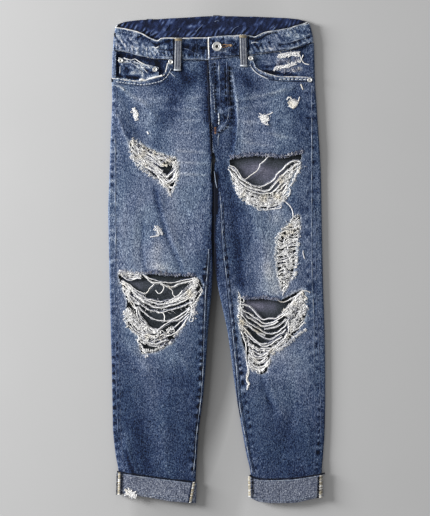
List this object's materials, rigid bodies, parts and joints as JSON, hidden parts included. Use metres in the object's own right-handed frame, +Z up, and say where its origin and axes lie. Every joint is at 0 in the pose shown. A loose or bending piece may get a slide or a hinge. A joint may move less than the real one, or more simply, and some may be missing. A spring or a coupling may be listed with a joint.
{
  "type": "ripped jeans",
  "caption": "Straight five-pocket blue denim jeans lying flat, faded and ripped at the thighs and knees, with loose white threads and turned-up cuffs.",
  "frame": {"origin": "on the surface that the jeans lie on, under the middle of their outline", "axes": "+Y up the garment to the waistband, +X to the wearer's left leg, +Z up from the surface, out of the front"},
  "size_m": [0.413, 0.928, 0.0146],
  "materials": {
    "denim": "washed indigo twill, matt, faded on the thighs",
    "denim_reverse": "pale grey-blue reverse of the twill, matt",
    "weft_threads": "undyed cotton threads, matt",
    "zip_brass": "plain zip teeth and tape",
    "nickel": "worn nickel button and rivets"
  },
  "bodies": {
    "root": {"front_right": "denim", "front_left": "denim", "back_right": "denim", "back_left": "denim", "yoke_right": "denim", "yoke_left": "denim", "back_pocket_right": "denim", "back_pocket_left": "denim", "facing_right": "denim", "facing_left": "denim", "coin_pocket": "denim", "fly_shield": "denim", "waistband": "denim", "belt_loop_front_right": "denim", "belt_loop_front_left": "denim", "belt_loop_back_right": "denim", "belt_loop_back_centre": "denim", "belt_loop_back_left": "denim", "cuff_right": "denim_reverse", "cuff_left": "denim_reverse", "weft_right_thigh": "weft_threads", "weft_left_thigh": "weft_threads", "weft_left_side": "weft_threads", "weft_left_knee": "weft_threads", "weft_right_knee": "weft_threads", "zip": "zip_brass", "button": "nickel", "rivet_coin_outer": "nickel", "rivet_coin_inner": "nickel", "rivet_mouth_right": "nickel", "rivet_mouth_left": "nickel", "rivet_side_left": "nickel"}
  },
  "joints": []
}
